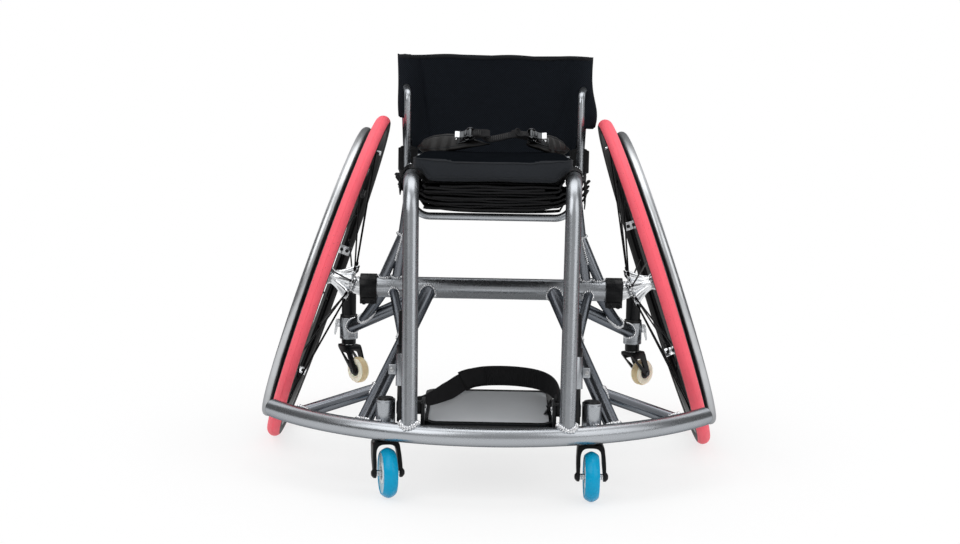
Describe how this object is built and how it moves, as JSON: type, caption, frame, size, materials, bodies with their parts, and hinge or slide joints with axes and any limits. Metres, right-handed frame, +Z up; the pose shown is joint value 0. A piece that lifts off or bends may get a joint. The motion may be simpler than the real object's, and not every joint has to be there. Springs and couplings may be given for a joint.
{
  "type": "court sports wheelchair",
  "caption": "Rigid-frame court sports wheelchair with cambered drive wheels, a round front bumper, swivelling casters and rear anti-tip casters.",
  "frame": {"origin": "on the floor, in the middle of the chair's width and of its length", "axes": "+Z up, the chair faces -Y, +X towards the sitter's left"},
  "size_m": [0.8148, 0.7819, 0.688],
  "materials": {
    "frame": "gunmetal metallic paint, glossy",
    "black_metal": "black anodised, satin",
    "silver": "polished",
    "handrim": "satin anodised",
    "tyre": "rose red tread with black sidewalls, matt",
    "rim": "black anodised, satin",
    "hub": "polished, with black spokes",
    "caster_wheel": "blue polyurethane",
    "tip_wheel": "cream polyurethane",
    "back_fabric": "black mesh and webbing",
    "cushion": "charcoal woven cover",
    "webbing": "black webbing",
    "plate": "brushed grey sheet"
  },
  "bodies": {
    "frame": {"bumper_tube": "frame", "camber_tube": "frame", "seat_cross_tube": "frame", "back_frame": "frame", "front_tube_left": "frame", "front_tube_right": "frame", "side_tube_left": "frame", "side_tube_right": "frame", "outer_strut_left": "frame", "outer_strut_right": "frame", "bumper_brace_left": "frame", "bumper_brace_right": "frame", "seat_upright_left": "frame", "seat_upright_right": "frame", "seat_brace_left": "frame", "seat_brace_right": "frame", "caster_housing_left": "frame", "caster_housing_right": "frame", "anti_tip_arm_left": "frame", "anti_tip_arm_right": "frame", "footrest_sleeve_left": "frame", "footrest_sleeve_right": "frame", "camber_plug_left": "silver", "camber_plug_right": "silver", "camber_clamp_left": "black_metal", "camber_clamp_right": "black_metal", "axle_left": "silver", "axle_right": "silver", "seat_cushion": "cushion", "seat_sling": "webbing", "back_sling": "back_fabric", "hip_belt_left": "webbing", "hip_belt_right": "webbing"},
    "drive_wheel_left": {"tyre_left": "tyre", "rim_left": "rim", "handrim_left": "handrim", "hub_left": "hub"},
    "drive_wheel_right": {"tyre_right": "tyre", "rim_right": "rim", "handrim_right": "handrim", "hub_right": "hub"},
    "axle_release_left": {"axle_button_left": "black_metal"},
    "axle_release_right": {"axle_button_right": "black_metal"},
    "front_caster_left": {"caster_fork_left": "black_metal"},
    "front_caster_right": {"caster_fork_right": "black_metal"},
    "front_wheel_left": {"caster_wheel_left": "caster_wheel"},
    "front_wheel_right": {"caster_wheel_right": "caster_wheel"},
    "tip_clamp_left": {"anti_tip_lever_left": "silver"},
    "tip_clamp_right": {"anti_tip_lever_right": "silver"},
    "tip_stem_left": {"anti_tip_stem_left": "black_metal"},
    "tip_stem_right": {"anti_tip_stem_right": "black_metal"},
    "tip_caster_left": {"anti_tip_fork_left": "black_metal"},
    "tip_caster_right": {"anti_tip_fork_right": "black_metal"},
    "tip_wheel_left": {"anti_tip_wheel_left": "tip_wheel"},
    "tip_wheel_right": {"anti_tip_wheel_right": "tip_wheel"},
    "footrest": {"footplate_tray": "black_metal", "footplate": "plate", "foot_strap": "webbing"},
    "belt_lever_left": {"buckle_lever_left": "silver"},
    "belt_lever_right": {"buckle_lever_right": "silver"}
  },
  "joints": [
    {"name": "drive_wheel_left_spin", "type": "hinge", "parent": "frame", "child": "drive_wheel_left", "pos_m": [0.2922, 0.086, 0.28972], "axis": [0.9478, 0, 0.319], "continuous": true},
    {"name": "drive_wheel_right_spin", "type": "hinge", "parent": "frame", "child": "drive_wheel_right", "pos_m": [-0.2922, 0.086, 0.28972], "axis": [-0.9478, 0, 0.319], "continuous": true},
    {"name": "axle_release_left_press", "type": "slide", "parent": "frame", "child": "axle_release_left", "axis": [-0.9478, 0, -0.319], "range_m": [0, 0.004], "stiffness_N_per_m": 500, "springref_m": -0.001},
    {"name": "axle_release_right_press", "type": "slide", "parent": "frame", "child": "axle_release_right", "axis": [0.9478, 0, -0.319], "range_m": [0, 0.004], "stiffness_N_per_m": 500, "springref_m": -0.001},
    {"name": "front_caster_left_swivel", "type": "hinge", "parent": "frame", "child": "front_caster_left", "pos_m": [0.1635, -0.317, 0.1], "axis": [0, 0, 1], "continuous": true},
    {"name": "front_caster_right_swivel", "type": "hinge", "parent": "frame", "child": "front_caster_right", "pos_m": [-0.1635, -0.317, 0.1], "axis": [0, 0, 1], "continuous": true},
    {"name": "front_wheel_left_spin", "type": "hinge", "parent": "front_caster_left", "child": "front_wheel_left", "pos_m": [0.16397, -0.344, 0.04], "axis": [0.9998, 0.0175, 0], "continuous": true},
    {"name": "front_wheel_right_spin", "type": "hinge", "parent": "front_caster_right", "child": "front_wheel_right", "pos_m": [-0.15743, -0.34331, 0.04], "axis": [0.9744, 0.225, 0], "continuous": true},
    {"name": "tip_clamp_left_lift", "type": "hinge", "parent": "frame", "child": "tip_clamp_left", "pos_m": [0.301, 0.316, 0.1625], "axis": [0, -1, 0], "range_deg": [0, 60]},
    {"name": "tip_clamp_right_lift", "type": "hinge", "parent": "frame", "child": "tip_clamp_right", "pos_m": [-0.301, 0.316, 0.1625], "axis": [0, 1, 0], "range_deg": [0, 60]},
    {"name": "tip_stem_left_height", "type": "slide", "parent": "frame", "child": "tip_stem_left", "axis": [0, 0, 1], "range_m": [-0.03, 0.008]},
    {"name": "tip_stem_right_height", "type": "slide", "parent": "frame", "child": "tip_stem_right", "axis": [0, 0, 1], "range_m": [-0.03, 0.008]},
    {"name": "tip_caster_left_swivel", "type": "hinge", "parent": "tip_stem_left", "child": "tip_caster_left", "pos_m": [0.277, 0.316, 0.13], "axis": [0, 0, 1], "continuous": true},
    {"name": "tip_caster_right_swivel", "type": "hinge", "parent": "tip_stem_right", "child": "tip_caster_right", "pos_m": [-0.277, 0.316, 0.13], "axis": [0, 0, 1], "continuous": true},
    {"name": "tip_wheel_left_spin", "type": "hinge", "parent": "tip_caster_left", "child": "tip_wheel_left", "pos_m": [0.29963, 0.33863, 0.071], "axis": [-0.7071, 0.7071, 0], "continuous": true},
    {"name": "tip_wheel_right_spin", "type": "hinge", "parent": "tip_caster_right", "child": "tip_wheel_right", "pos_m": [-0.25601, 0.29185, 0.075], "axis": [0.7547, 0.6561, 0], "continuous": true},
    {"name": "footrest_height", "type": "slide", "parent": "frame", "child": "footrest", "axis": [0, 0.176, 0.9844], "range_m": [0, 0.022]},
    {"name": "belt_lever_left_lift", "type": "hinge", "parent": "frame", "child": "belt_lever_left", "pos_m": [0.06488, -0.01946, 0.55851], "axis": [0, -0.766, -0.6428], "range_deg": [0, 95], "stiffness_Nm_per_rad": 0.01, "springref_deg": -11.46},
    {"name": "belt_lever_right_lift", "type": "hinge", "parent": "frame", "child": "belt_lever_right", "pos_m": [-0.04088, -0.01946, 0.55851], "axis": [0, 0.766, 0.6428], "range_deg": [0, 95], "stiffness_Nm_per_rad": 0.01, "springref_deg": -11.46}
  ]
}
